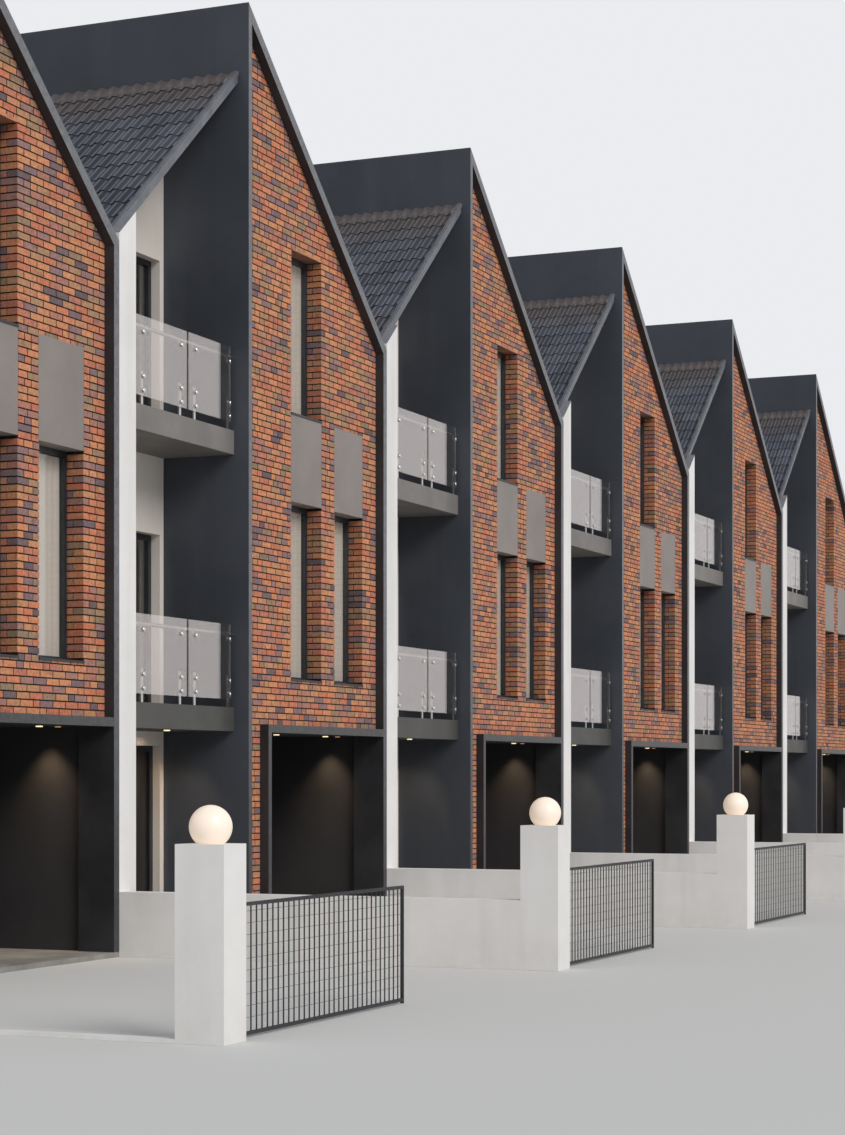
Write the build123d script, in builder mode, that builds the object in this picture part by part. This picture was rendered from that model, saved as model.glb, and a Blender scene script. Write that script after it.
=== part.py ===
from build123d import *
import os

os.makedirs("parts", exist_ok=True)

# Terraced row of six three storey houses, from ground level up, in millimetres.
# X runs along the row, Y into the houses, Z up. Each house repeats at house_pitch.
# House positions are measured from the left face of its party wall, depths from the frame's front.

# Driving dimensions of the row
house_count = 6
house_pitch = 6550
house_depth = 9000
garden_depth = 4543
party_t = 330
row_length = house_count * house_pitch + party_t
left_x = -row_length / 2
face_y = (garden_depth - house_depth) / 2
house_xs = [left_x + i * house_pitch for i in range(house_count)]
wall_xs = house_xs + [left_x + house_count * house_pitch]
houses = [(x, 0) for x in house_xs]
low = (Align.MIN, Align.MIN, Align.MIN)

# Storeys
ground_t = 50
slab_t = 260
storey_h = 3010
first_under = 2255
first_top = first_under + slab_t
second_under = first_under + storey_h
second_top = second_under + slab_t

# Roof lines, both slopes at one pitch
flank_x = house_pitch * 56 / 131
flank_t = 220
slope = 0.844
valley_z = second_top + 1475
apex_z = valley_z + slope * (house_pitch - flank_x)
tile_relief = 20
roof_t = 290
roof_under = tile_relief + roof_t
verge_h = 125

# Depths behind the frame's front
brick_y = 114
front_y = 400
roof_front = 100
verge_y = 60
balcony_y = 180
recess_y = 1050
recess_t = 250
room_y = recess_y + recess_t
rear_t = 300
rear_y = house_depth - rear_t

# Gable frame and carport
post_w = 80
right_post_w = 100
rake_t = 143
post_in = flank_x + post_w
right_in = house_pitch - right_post_w
jamb_x = post_in + 404
jamb_w = 80
lintel_z = first_under - 5
brick_z = lintel_z + 90
carport_depth = 6100
carport_wall_t = 200
lining_t = 30

# Windows of the brick front
slot_w = 815
slot_b_x = right_in - slot_w - 395
slot_a_x = slot_b_x - slot_w - 355
sill_z = first_top + 335
panel_low = second_under - 375
panel_high = second_top + 355
slot_head = panel_high + 1875
glaze_y = 290
ring_w = 60
ring_t = 60
glass_t = 10

# Balcony doors and entrance door in the recess
recess_edge = flank_x - 85
terrace_w = 0.609 * flank_x
terrace_x = recess_edge - terrace_w
door_head = 1900
door_glaze_y = recess_y + 107
entry_w = 1000
entry_x = recess_edge - entry_w
entry_head = first_under - 155


def right_line(x):
    return apex_z - slope * (x - flank_x)


def left_line(x):
    return valley_z + slope * x


def upright(depth):
    return Plane.XZ.offset(-(face_y + depth))


def each_house(x, depth, z):
    return [(hx + x, face_y + depth, z) for hx in house_xs]


# Ground slab of each house
with BuildPart() as ground_slabs:
    with Locations(*each_house(party_t, 0, 0)):
        Box(house_pitch - party_t, house_depth, ground_t, align=low)
ground_slabs.part.label = "ground_slabs"
export_step(ground_slabs.part, "parts/ground_slabs.step")

# Two upper floors behind the recess, between the party walls
floor_w = house_pitch - party_t
with BuildPart() as upper_floors:
    with Locations(*each_house(party_t, room_y, first_under)):
        Box(floor_w, rear_y - room_y, first_top - first_under, align=low)
    with Locations(*each_house(party_t, room_y, second_under)):
        Box(floor_w, rear_y - room_y, second_top - second_under, align=low)
upper_floors.part.label = "upper_floors"
export_step(upper_floors.part, "parts/upper_floors.step")

# Front strips of the upper floors, beside the recess
strip_x = flank_x + flank_t
with BuildPart() as front_floors:
    with Locations(*each_house(strip_x, front_y, first_under)):
        Box(house_pitch - strip_x, room_y - front_y, first_top - first_under, align=low)
    with Locations(*each_house(strip_x, front_y, second_under)):
        Box(house_pitch - strip_x, room_y - front_y, second_top - second_under, align=low)
front_floors.part.label = "front_floors"
export_step(front_floors.part, "parts/front_floors.step")

# Party walls, whose front ends show as white fins
with BuildPart() as party_walls:
    with BuildSketch(upright(house_depth)):
        with Locations(*houses):
            Polygon((0, 0), (party_t, 0), (party_t, left_line(party_t) - roof_under),
                    (0, left_line(0) - roof_under), align=None)
        with Locations((wall_xs[-1], 0)):
            Rectangle(party_t, valley_z - tile_relief, align=(Align.MIN, Align.MIN))
    extrude(amount=house_depth)
    # the fins meet the verge board's underside
    with BuildSketch(upright(recess_y)):
        with Locations(*houses):
            Polygon((0, left_line(0) - roof_under), (party_t, left_line(party_t) - roof_under),
                    (party_t, left_line(party_t) - verge_h), (0, left_line(0) - verge_h), align=None)
    extrude(amount=recess_y)
party_walls.part.label = "party_walls"
export_step(party_walls.part, "parts/party_walls.step")

# Dark flank walls: the recess side in front and the same wall's end at the rear
flank_profile = [(flank_x, ground_t), (strip_x, ground_t), (strip_x, right_line(strip_x) - tile_relief),
                 (flank_x, right_line(flank_x) - tile_relief)]
with BuildPart() as flank_walls:
    with BuildSketch(upright(room_y)):
        with Locations(*houses):
            Polygon(*flank_profile, align=None)
    extrude(amount=room_y - front_y)
    with BuildSketch(upright(house_depth)):
        with Locations(*houses):
            Polygon(*flank_profile, align=None)
    extrude(amount=rear_t)
flank_walls.part.label = "flank_walls"
export_step(flank_walls.part, "parts/flank_walls.step")

# The upper part of the flank wall that stands over the left roof
ridge_foot = left_line(flank_x) - roof_under - 103
with BuildPart() as ridge_walls:
    with BuildSketch(upright(rear_y)):
        with Locations(*houses):
            Polygon((flank_x, ridge_foot), (strip_x, ridge_foot),
                    (strip_x, right_line(strip_x) - tile_relief),
                    (flank_x, right_line(flank_x) - tile_relief), align=None)
    extrude(amount=rear_y - room_y)
ridge_walls.part.label = "ridge_walls"
export_step(ridge_walls.part, "parts/ridge_walls.step")

# Recess wall beside the entrance door, both sides
with BuildPart() as recess_door_walls:
    with Locations(*each_house(party_t, recess_y, ground_t)):
        Box(entry_x - party_t, recess_t, entry_head - ground_t, align=low)
    with Locations(*each_house(recess_edge, recess_y, ground_t)):
        Box(flank_x - recess_edge, recess_t, entry_head - ground_t, align=low)
recess_door_walls.part.label = "recess_door_walls"
export_step(recess_door_walls.part, "parts/recess_door_walls.step")

# Recess wall over the entrance, with the two balcony door openings cut through
balcony_tops = [first_top, second_top]
with BuildPart() as recess_upper_walls:
    with BuildSketch(upright(room_y)):
        with Locations(*houses):
            Polygon((party_t, entry_head), (flank_x, entry_head),
                    (flank_x, left_line(flank_x) - roof_under),
                    (party_t, left_line(party_t) - roof_under), align=None)
        with Locations(*[(x + terrace_x, z) for x in house_xs for z in balcony_tops]):
            Rectangle(terrace_w, door_head, align=(Align.MIN, Align.MIN), mode=Mode.SUBTRACT)
    extrude(amount=recess_t)
recess_upper_walls.part.label = "recess_upper_walls"
export_step(recess_upper_walls.part, "parts/recess_upper_walls.step")

# Brick half gable over the carport, with two tall window slots
with BuildPart() as brick_fronts:
    with BuildSketch(upright(front_y)):
        with Locations(*houses):
            Polygon((post_in, brick_z), (right_in, brick_z), (right_in, right_line(right_in) - rake_t),
                    (post_in, right_line(post_in) - rake_t), align=None)
        with Locations(*[(x + slot_a_x, sill_z) for x in house_xs]):
            Rectangle(slot_w, slot_head - sill_z, align=(Align.MIN, Align.MIN), mode=Mode.SUBTRACT)
        with Locations(*[(x + slot_b_x, sill_z) for x in house_xs]):
            Rectangle(slot_w, panel_high - sill_z, align=(Align.MIN, Align.MIN), mode=Mode.SUBTRACT)
    extrude(amount=front_y - brick_y)
brick_fronts.part.label = "brick_fronts"
export_step(brick_fronts.part, "parts/brick_fronts.step")

# Narrow brick pier at the left of each carport
with BuildPart() as brick_piers:
    with Locations(*each_house(post_in, brick_y, ground_t)):
        Box(jamb_x - post_in, front_y - brick_y, brick_z - ground_t, align=low)
brick_piers.part.label = "brick_piers"
export_step(brick_piers.part, "parts/brick_piers.step")

# Posts of the metal frame round the gable
with BuildPart() as frame_posts:
    with BuildSketch(upright(front_y)):
        with Locations(*houses):
            Polygon((flank_x, ground_t), (post_in, ground_t), (post_in, right_line(post_in) - rake_t),
                    (flank_x, right_line(flank_x) - rake_t), align=None)
            Polygon((right_in, ground_t), (house_pitch, ground_t), (house_pitch, valley_z - rake_t),
                    (right_in, right_line(right_in) - rake_t), align=None)
    extrude(amount=front_y)
frame_posts.part.label = "frame_posts"
export_step(frame_posts.part, "parts/frame_posts.step")

# Sloping member of the gable frame
with BuildPart() as frame_rakes:
    with BuildSketch(upright(front_y)):
        with Locations(*houses):
            Polygon((flank_x, apex_z - rake_t), (house_pitch, valley_z - rake_t),
                    (house_pitch, valley_z), (flank_x, apex_z), align=None)
    extrude(amount=front_y)
frame_rakes.part.label = "frame_rakes"
export_step(frame_rakes.part, "parts/frame_rakes.step")

# Carport portal: left jamb and lintel in one piece
with BuildPart() as carport_portals:
    with BuildSketch(upright(front_y)):
        with Locations(*houses):
            Polygon((jamb_x, ground_t), (jamb_x + jamb_w, ground_t), (jamb_x + jamb_w, lintel_z),
                    (right_in, lintel_z), (right_in, brick_z), (jamb_x, brick_z), align=None)
    extrude(amount=front_y)
carport_portals.part.label = "carport_portals"
export_step(carport_portals.part, "parts/carport_portals.step")

# Carport side wall and back wall
with BuildPart() as carport_walls:
    with Locations(*each_house(flank_x, room_y, ground_t)):
        Box(flank_t, carport_depth - room_y, first_under - ground_t, align=low)
    with Locations(*each_house(flank_x, carport_depth, ground_t)):
        Box(house_pitch - flank_x, carport_wall_t, first_under - ground_t, align=low)
    # thin lining on the next house's party wall
    with Locations(*each_house(house_pitch - lining_t, front_y, ground_t)):
        Box(lining_t, carport_depth - front_y, first_under - ground_t, align=low)
carport_walls.part.label = "carport_walls"
export_step(carport_walls.part, "parts/carport_walls.step")

# Rear walls, with the same storeys and window sizes as the front
rear_w = flank_x - party_t - 1270
rear_h = 1200
rear_left = [(party_t + 680, first_under - rear_h - 155, rear_w, rear_h),
             (party_t + 680, second_under - rear_h - 765, rear_w, rear_h),
             (party_t + 1070, second_top + 375, rear_w - 200, rear_h + 100)]
rear_right = [(slot_a_x, ground_t + 200, slot_b_x + slot_w - slot_a_x, entry_head - ground_t - 200),
              (slot_a_x, sill_z, slot_w, panel_low - sill_z),
              (slot_b_x, sill_z, slot_w, panel_low - sill_z),
              (slot_a_x, panel_high, slot_w, slot_head - panel_high)]
with BuildPart() as rear_walls_left:
    with BuildSketch(upright(house_depth)):
        with Locations(*houses):
            Polygon((party_t, ground_t), (flank_x, ground_t), (flank_x, left_line(flank_x) - roof_under),
                    (party_t, left_line(party_t) - roof_under), align=None)
        for hole_x, hole_z, hole_w, hole_h in rear_left:
            with Locations(*[(x + hole_x, hole_z) for x in house_xs]):
                Rectangle(hole_w, hole_h, align=(Align.MIN, Align.MIN), mode=Mode.SUBTRACT)
    extrude(amount=rear_t)
rear_walls_left.part.label = "rear_walls_left"
export_step(rear_walls_left.part, "parts/rear_walls_left.step")

with BuildPart() as rear_walls_right:
    with BuildSketch(upright(house_depth)):
        with Locations(*houses):
            Polygon((strip_x, ground_t), (house_pitch, ground_t), (house_pitch, valley_z - roof_under),
                    (strip_x, right_line(strip_x) - roof_under), align=None)
        for hole_x, hole_z, hole_w, hole_h in rear_right:
            with Locations(*[(x + hole_x, hole_z) for x in house_xs]):
                Rectangle(hole_w, hole_h, align=(Align.MIN, Align.MIN), mode=Mode.SUBTRACT)
    extrude(amount=rear_t)
rear_walls_right.part.label = "rear_walls_right"
export_step(rear_walls_right.part, "parts/rear_walls_right.step")

# Left roof slope, thinner where it stands out over the recess
with BuildPart() as left_roofs:
    for back, front, under in [(house_depth, recess_y, roof_under), (recess_y, roof_front, verge_h)]:
        with BuildSketch(upright(back)):
            with Locations(*houses):
                Polygon((0, left_line(0) - under), (flank_x, left_line(flank_x) - under),
                        (flank_x, left_line(flank_x) - tile_relief), (0, left_line(0) - tile_relief),
                        align=None)
        extrude(amount=back - front)
left_roofs.part.label = "left_roofs"
export_step(left_roofs.part, "parts/left_roofs.step")

# Right roof slope behind the gable frame
with BuildPart() as right_roofs:
    with BuildSketch(upright(house_depth)):
        with Locations(*houses):
            Polygon((strip_x, right_line(strip_x) - roof_under), (house_pitch, valley_z - roof_under),
                    (house_pitch, valley_z - tile_relief), (strip_x, right_line(strip_x) - tile_relief),
                    align=None)
    extrude(amount=house_depth - front_y)
right_roofs.part.label = "right_roofs"
export_step(right_roofs.part, "parts/right_roofs.step")

# Pale verge board on the front end of the left roof
cap_h = 45
cap_out = 15
with BuildPart() as roof_verges:
    with BuildSketch(upright(roof_front)):
        with Locations(*houses):
            Polygon((0, left_line(0) - verge_h), (flank_x, left_line(flank_x) - verge_h),
                    (flank_x, left_line(flank_x)), (0, left_line(0)), align=None)
    extrude(amount=roof_front - verge_y)
    # folded capping along the board's upper edge
    with BuildSketch(upright(verge_y)):
        with Locations(*houses):
            Polygon((0, left_line(0) - cap_h), (flank_x, left_line(flank_x) - cap_h),
                    (flank_x, left_line(flank_x)), (0, left_line(0)), align=None)
    extrude(amount=cap_out)
roof_verges.part.label = "roof_verges"
export_step(roof_verges.part, "parts/roof_verges.step")

# Lined gutter in each valley between two houses
gutter_half = 130
gutter_z = valley_z - tile_relief
with BuildPart() as valley_gutters:
    with BuildSketch(upright(house_depth)):
        with Locations(*houses[1:]):
            Polygon((0, gutter_z), (gutter_half, gutter_z + gutter_half * slope),
                    (-gutter_half, gutter_z + gutter_half * slope), align=None)
    extrude(amount=house_depth - front_y)
valley_gutters.part.label = "valley_gutters"
export_step(valley_gutters.part, "parts/valley_gutters.step")

# Metal capping on the flank wall's top
cap_end = strip_x + 100
with BuildPart() as ridge_caps:
    with BuildSketch(upright(house_depth)):
        with Locations(*houses):
            Polygon((flank_x, apex_z - tile_relief), (cap_end, right_line(cap_end) - tile_relief),
                    (cap_end, right_line(cap_end)), (flank_x, apex_z), align=None)
    extrude(amount=house_depth - front_y)
ridge_caps.part.label = "ridge_caps"
export_step(ridge_caps.part, "parts/ridge_caps.step")

# Front windows: x, sill, width and height of each glazed light
front_lights = [(slot_a_x, sill_z, slot_w, panel_low - sill_z),
                (slot_b_x, sill_z, slot_w, panel_low - sill_z),
                (slot_a_x, panel_high, slot_w, slot_head - panel_high)]
with BuildPart() as window_frames:
    with BuildSketch(upright(glaze_y + ring_t)):
        for hole_x, hole_z, hole_w, hole_h in front_lights:
            with Locations(*[(x + hole_x + hole_w / 2, hole_z + hole_h / 2) for x in house_xs]):
                Rectangle(hole_w, hole_h)
                Rectangle(hole_w - 2 * ring_w, hole_h - 2 * ring_w, mode=Mode.SUBTRACT)
    extrude(amount=ring_t)
window_frames.part.label = "window_frames"
export_step(window_frames.part, "parts/window_frames.step")

glass_back = (ring_t + glass_t) / 2
with BuildPart() as window_glass:
    with BuildSketch(upright(glaze_y + glass_back)):
        for hole_x, hole_z, hole_w, hole_h in front_lights:
            with Locations(*[(x + hole_x + hole_w / 2, hole_z + hole_h / 2) for x in house_xs]):
                Rectangle(hole_w - 2 * ring_w, hole_h - 2 * ring_w)
    extrude(amount=glass_t)
window_glass.part.label = "window_glass"
export_step(window_glass.part, "parts/window_glass.step")

# Flat infill panels between the storeys, flush with the bricks
panel_y = 105
with BuildPart() as window_panels:
    with Locations(*each_house(slot_a_x, panel_y, panel_low), *each_house(slot_b_x, panel_y, panel_low)):
        Box(slot_w, glaze_y + ring_t - panel_y, panel_high - panel_low, align=low)
window_panels.part.label = "window_panels"
export_step(window_panels.part, "parts/window_panels.step")

# Thin sills, projecting a little in front of the bricks
sill_t = 22
sill_out = 20
with BuildPart() as window_sills:
    with Locations(*each_house(slot_a_x, brick_y - sill_out, sill_z),
                   *each_house(slot_b_x, brick_y - sill_out, sill_z),
                   *each_house(slot_a_x, brick_y - sill_out, panel_high)):
        Box(slot_w, glaze_y - brick_y + sill_out, sill_t, align=low)
window_sills.part.label = "window_sills"
export_step(window_sills.part, "parts/window_sills.step")

# Rear windows
rear_glaze = rear_y + 150
rear_lights = rear_left + rear_right
with BuildPart() as rear_window_frames:
    with BuildSketch(upright(rear_glaze + ring_t)):
        for hole_x, hole_z, hole_w, hole_h in rear_lights:
            with Locations(*[(x + hole_x + hole_w / 2, hole_z + hole_h / 2) for x in house_xs]):
                Rectangle(hole_w, hole_h)
                Rectangle(hole_w - 2 * ring_w, hole_h - 2 * ring_w, mode=Mode.SUBTRACT)
    extrude(amount=ring_t)
rear_window_frames.part.label = "rear_window_frames"
export_step(rear_window_frames.part, "parts/rear_window_frames.step")

with BuildPart() as rear_window_glass:
    with BuildSketch(upright(rear_glaze + glass_back)):
        for hole_x, hole_z, hole_w, hole_h in rear_lights:
            with Locations(*[(x + hole_x + hole_w / 2, hole_z + hole_h / 2) for x in house_xs]):
                Rectangle(hole_w - 2 * ring_w, hole_h - 2 * ring_w)
    extrude(amount=glass_t)
rear_window_glass.part.label = "rear_window_glass"
export_step(rear_window_glass.part, "parts/rear_window_glass.step")

# Balcony door frames, two lights each
light_w = (terrace_w - 3 * ring_w) / 2
light_h = door_head - 2 * ring_w
light_xs = [terrace_x + ring_w, terrace_x + 2 * ring_w + light_w]
light_spots = [(x + lx, z + ring_w) for x in house_xs for lx in light_xs for z in balcony_tops]
with BuildPart() as balcony_door_frames:
    with BuildSketch(upright(door_glaze_y + ring_t)):
        with Locations(*[(x + terrace_x, z) for x in house_xs for z in balcony_tops]):
            Rectangle(terrace_w, door_head, align=(Align.MIN, Align.MIN))
        with Locations(*light_spots):
            Rectangle(light_w, light_h, align=(Align.MIN, Align.MIN), mode=Mode.SUBTRACT)
    extrude(amount=ring_t)
balcony_door_frames.part.label = "balcony_door_frames"
export_step(balcony_door_frames.part, "parts/balcony_door_frames.step")

with BuildPart() as balcony_door_glass:
    with BuildSketch(upright(door_glaze_y + glass_back)):
        with Locations(*light_spots):
            Rectangle(light_w, light_h, align=(Align.MIN, Align.MIN))
    extrude(amount=glass_t)
balcony_door_glass.part.label = "balcony_door_glass"
export_step(balcony_door_glass.part, "parts/balcony_door_glass.step")

# Balcony slabs, from party wall to flank wall
balcony_w = flank_x - party_t
with BuildPart() as balcony_slabs:
    with Locations(*each_house(party_t, balcony_y, first_under)):
        Box(balcony_w, recess_y - balcony_y, first_top - first_under, align=low)
    with Locations(*each_house(party_t, balcony_y, second_under)):
        Box(balcony_w, recess_y - balcony_y, second_top - second_under, align=low)
balcony_slabs.part.label = "balcony_slabs"
export_step(balcony_slabs.part, "parts/balcony_slabs.step")

# Glass balustrade: two panes held off short posts and a tube handrail by clamps
pane_mid = (party_t + flank_x) / 2 + 167
pane_end = flank_x - 98
pane_xs = [(party_t + 120, pane_mid - 20), (pane_mid + 20, pane_end)]
pane_low = 85
pane_high = 895
pane_t = 12
pane_y = 172
rail_z = 795
rail_r = 21
post_y = 196
post_size = (40, 14, 345)
stub_xs = [party_t + 470, pane_mid - 127, pane_mid + 193, pane_end]
clamp_r = 26
low_clamps = [140, 285]
top_clamp = 735
rail_y = post_y + 15
with BuildPart() as balcony_glass:
    for low_x, high_x in pane_xs:
        with Locations(*each_house(low_x, pane_y, first_top + pane_low),
                       *each_house(low_x, pane_y, second_top + pane_low)):
            Box(high_x - low_x, pane_t, pane_high - pane_low, align=low)
balcony_glass.part.label = "balcony_glass"
export_step(balcony_glass.part, "parts/balcony_glass.step")

with BuildPart() as balcony_posts:
    for stub_x in stub_xs:
        with Locations(*each_house(stub_x - post_size[0] / 2, post_y, first_top),
                       *each_house(stub_x - post_size[0] / 2, post_y, second_top)):
            Box(*post_size, align=low)
    with BuildSketch(upright(post_y)):
        with Locations(*[(x + sx, z + c) for x in house_xs for sx in stub_xs
                         for z in balcony_tops for c in low_clamps]):
            RegularPolygon(clamp_r, 6)
    extrude(amount=post_y - pane_y - pane_t)
balcony_posts.part.label = "balcony_posts"
export_step(balcony_posts.part, "parts/balcony_posts.step")

# Handrail tubes, each with the upper clamps hanging under it in front
with BuildPart() as balcony_handrails:
    with BuildSketch(Plane.YZ.offset(left_x + party_t)):
        with Locations(*[(face_y + rail_y, z + rail_z) for z in balcony_tops]):
            RegularPolygon(rail_r, 12)
    extrude(amount=balcony_w)
    for x in house_xs[1:]:
        with BuildSketch(Plane.YZ.offset(x + party_t)):
            with Locations(*[(face_y + rail_y, z + rail_z) for z in balcony_tops]):
                RegularPolygon(rail_r, 12)
        extrude(amount=balcony_w)
    with Locations(*[(x + sx, face_y + rail_y, z + top_clamp + 14) for x in house_xs for sx in stub_xs
                     for z in balcony_tops]):
        Box(16, 12, 50)
    with BuildSketch(upright(rail_y + 6)):
        with Locations(*[(x + sx, z + top_clamp) for x in house_xs for sx in stub_xs
                         for z in balcony_tops]):
            RegularPolygon(clamp_r, 6)
    extrude(amount=rail_y + 6 - pane_y - pane_t)
balcony_handrails.part.label = "balcony_handrails"
export_step(balcony_handrails.part, "parts/balcony_handrails.step")

# Entrance door frames with a stop in front of the leaf
frame_w = 50
stop_w = 68
stop_t = 20
with BuildPart() as entrance_frames:
    with BuildSketch(upright(door_glaze_y + ring_t)):
        with Locations(*[(x + entry_x + entry_w / 2, ground_t) for x in house_xs]):
            Rectangle(entry_w, entry_head - ground_t, align=(Align.CENTER, Align.MIN))
            Rectangle(entry_w - 2 * frame_w, entry_head - ground_t - frame_w,
                      align=(Align.CENTER, Align.MIN), mode=Mode.SUBTRACT)
    extrude(amount=ring_t)
    with BuildSketch(upright(door_glaze_y)):
        with Locations(*[(x + entry_x + entry_w / 2, ground_t) for x in house_xs]):
            Rectangle(entry_w, entry_head - ground_t, align=(Align.CENTER, Align.MIN))
            Rectangle(entry_w - 2 * stop_w, entry_head - ground_t - stop_w,
                      align=(Align.CENTER, Align.MIN), mode=Mode.SUBTRACT)
    extrude(amount=stop_t)
entrance_frames.part.label = "entrance_frames"
export_step(entrance_frames.part, "parts/entrance_frames.step")

# Entrance doors, hinged at the flank wall side and opening inwards
leaf_gap = 6
leaf_t = 50
leaf_foot = 8
leaf_w = entry_w - 2 * frame_w - 2 * leaf_gap
leaf_h = entry_head - ground_t - frame_w - leaf_gap - leaf_foot
leaf_x = entry_x + frame_w + leaf_gap
leaf_z = ground_t + leaf_foot
leaf_front = door_glaze_y + ring_t - leaf_t
hinge_r = 7
hinge_x = leaf_x + leaf_w - 9
hinge_y = door_glaze_y + ring_t + 8
knuckle_h = 45
hinge_zs = [leaf_z + 200, leaf_z + leaf_h / 2, leaf_z + leaf_h - 200]
pull_x = leaf_x + 75
pull_r = 15
pull_off = 45
for i, x in enumerate(house_xs):
    with BuildPart() as entrance_door:
        with Locations((x + leaf_x, face_y + leaf_front, leaf_z)):
            Box(leaf_w, leaf_t, leaf_h, align=low)
        # long pull bar outside, short one inside
        with Locations((x + pull_x, face_y + leaf_front - pull_off, leaf_z + 1050)):
            Cylinder(pull_r, 700)
        with Locations((x + pull_x, face_y + leaf_front + leaf_t + pull_off, leaf_z + 1050)):
            Cylinder(pull_r - 5, 220)
        with Locations(*[(x + pull_x, face_y + leaf_front - pull_off / 2, leaf_z + 1050 + d)
                         for d in (-300, 300)]):
            Box(16, pull_off, 16)
        with Locations(*[(x + pull_x, face_y + leaf_front + leaf_t + pull_off / 2, leaf_z + 1050 + d)
                         for d in (-90, 90)]):
            Box(14, pull_off, 14)
        # lower knuckle of each hinge, tied to the leaf's inner face
        with Locations(*[(x + hinge_x, face_y + hinge_y, z) for z in hinge_zs]):
            Cylinder(hinge_r, knuckle_h)
        with Locations(*[(x + hinge_x - 15, face_y + hinge_y - 4, z) for z in hinge_zs]):
            Box(30, 8, knuckle_h)
    door_name = "entrance_door_" + str(i + 1)
    entrance_door.part.label = door_name
    export_step(entrance_door.part, "parts/" + door_name + ".step")

# Frame side of the hinges: a knuckle over each leaf knuckle, on an arm from the frame
hinge_play = 0.3
arm_z = knuckle_h / 2 + hinge_play
arm_reach = recess_edge - frame_w + 25
with BuildPart() as entrance_hinges:
    with Locations(*[(x + hinge_x, face_y + hinge_y, z + arm_z) for x in house_xs for z in hinge_zs]):
        Cylinder(hinge_r, 30, align=(Align.CENTER, Align.CENTER, Align.MIN))
        Box(arm_reach - hinge_x, 5, 30, align=(Align.MIN, Align.CENTER, Align.MIN))
    with Locations(*[(x + arm_reach, face_y + door_glaze_y + ring_t, z + arm_z)
                     for x in house_xs for z in hinge_zs]):
        Box(20, hinge_y - door_glaze_y - ring_t + 2.5, 30, align=(Align.MAX, Align.MIN, Align.MIN))
entrance_hinges.part.label = "entrance_hinges"
export_step(entrance_hinges.part, "parts/entrance_hinges.step")

# Street piers, the first on its own and the others ending low garden walls
pier_w = 323
pier_d = 364
pier_h = 1318
garden_wall_w = 200
garden_wall_h = 635
kerb_w = 100
kerb_h = 30
with BuildPart() as garden_walls:
    with Locations(*[(x, face_y - garden_depth, 0) for x in wall_xs]):
        Box(pier_w, pier_d, pier_h, align=low)
    with Locations(*[(x, face_y - garden_depth + pier_d, 0) for x in wall_xs[1:]]):
        Box(garden_wall_w, garden_depth - pier_d, garden_wall_h, align=low)
    # low kerb that ties the first pier to the row
    with Locations((left_x, face_y - garden_depth + pier_d, 0)):
        Box(kerb_w, garden_depth - pier_d, kerb_h, align=low)
garden_walls.part.label = "garden_walls"
export_step(garden_walls.part, "parts/garden_walls.step")

# Ball lamps, cut flat where they sit on the piers
globe_r = 145
globe_z = pier_h + 113
with BuildPart() as lamp_globes:
    with Locations(*[(x + pier_w / 2, face_y - garden_depth + pier_d / 2, globe_z) for x in wall_xs]):
        Sphere(globe_r)
    with Locations((0, face_y - garden_depth + pier_d / 2, pier_h)):
        Box(row_length + 1000, 2 * globe_r, 2 * globe_r,
            align=(Align.CENTER, Align.CENTER, Align.MAX), mode=Mode.SUBTRACT)
lamp_globes.part.label = "lamp_globes"
export_step(lamp_globes.part, "parts/lamp_globes.step")

# Mesh fence panels: a tube frame, an end post and upright wires
fence_y = 100
fence_t = 22
fence_w = 2862
fence_post_w = 25
fence_end = pier_w + fence_w + fence_post_w
fence_h = 915
fence_foot = 15
rail_h = 25
wire_t = 8
wire_pitch = 84
wire_count = int((fence_w - rail_h) / wire_pitch)
wire_mid = pier_w + rail_h + (fence_w - rail_h) / 2
fence_line = fence_y - garden_depth
with BuildPart() as fence_panels:
    with Locations(*each_house(pier_w, fence_line - fence_t / 2, fence_h - rail_h),
                   *each_house(pier_w, fence_line - fence_t / 2, fence_foot)):
        Box(fence_w, fence_t, rail_h, align=low)
    with Locations(*each_house(pier_w, fence_line - fence_t / 2, fence_foot)):
        Box(rail_h, fence_t, fence_h - fence_foot, align=low)
    with Locations(*each_house(fence_end - fence_post_w, fence_line - fence_t / 2, 0)):
        Box(fence_post_w, fence_t, fence_h, align=low)
    for x in house_xs:
        with Locations((x + wire_mid, face_y + fence_line, (fence_h + fence_foot) / 2)):
            with GridLocations(wire_pitch, 1, wire_count, 1):
                Box(wire_t, wire_t, fence_h - fence_foot - rail_h)
fence_panels.part.label = "fence_panels"
export_step(fence_panels.part, "parts/fence_panels.step")

# Small downlights under the carport ceilings and the lower balconies
light_r = 35
light_t = 12
lights = [(right_in + a, b) for a in (-1750, -400) for b in (600, 3200)] + [(flank_x - 1000, 460)]
with BuildPart() as downlights:
    with BuildSketch(Plane.XY.offset(first_under - light_t)):
        with Locations(*[(x + a, face_y + b) for x in house_xs for a, b in lights]):
            RegularPolygon(light_r, 10)
    extrude(amount=light_t)
downlights.part.label = "downlights"
export_step(downlights.part, "parts/downlights.step")
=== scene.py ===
"""Terraced row of six brick and render houses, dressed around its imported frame."""
import math
import random

import bmesh
import bpy
from mathutils import Matrix, Vector


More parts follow.
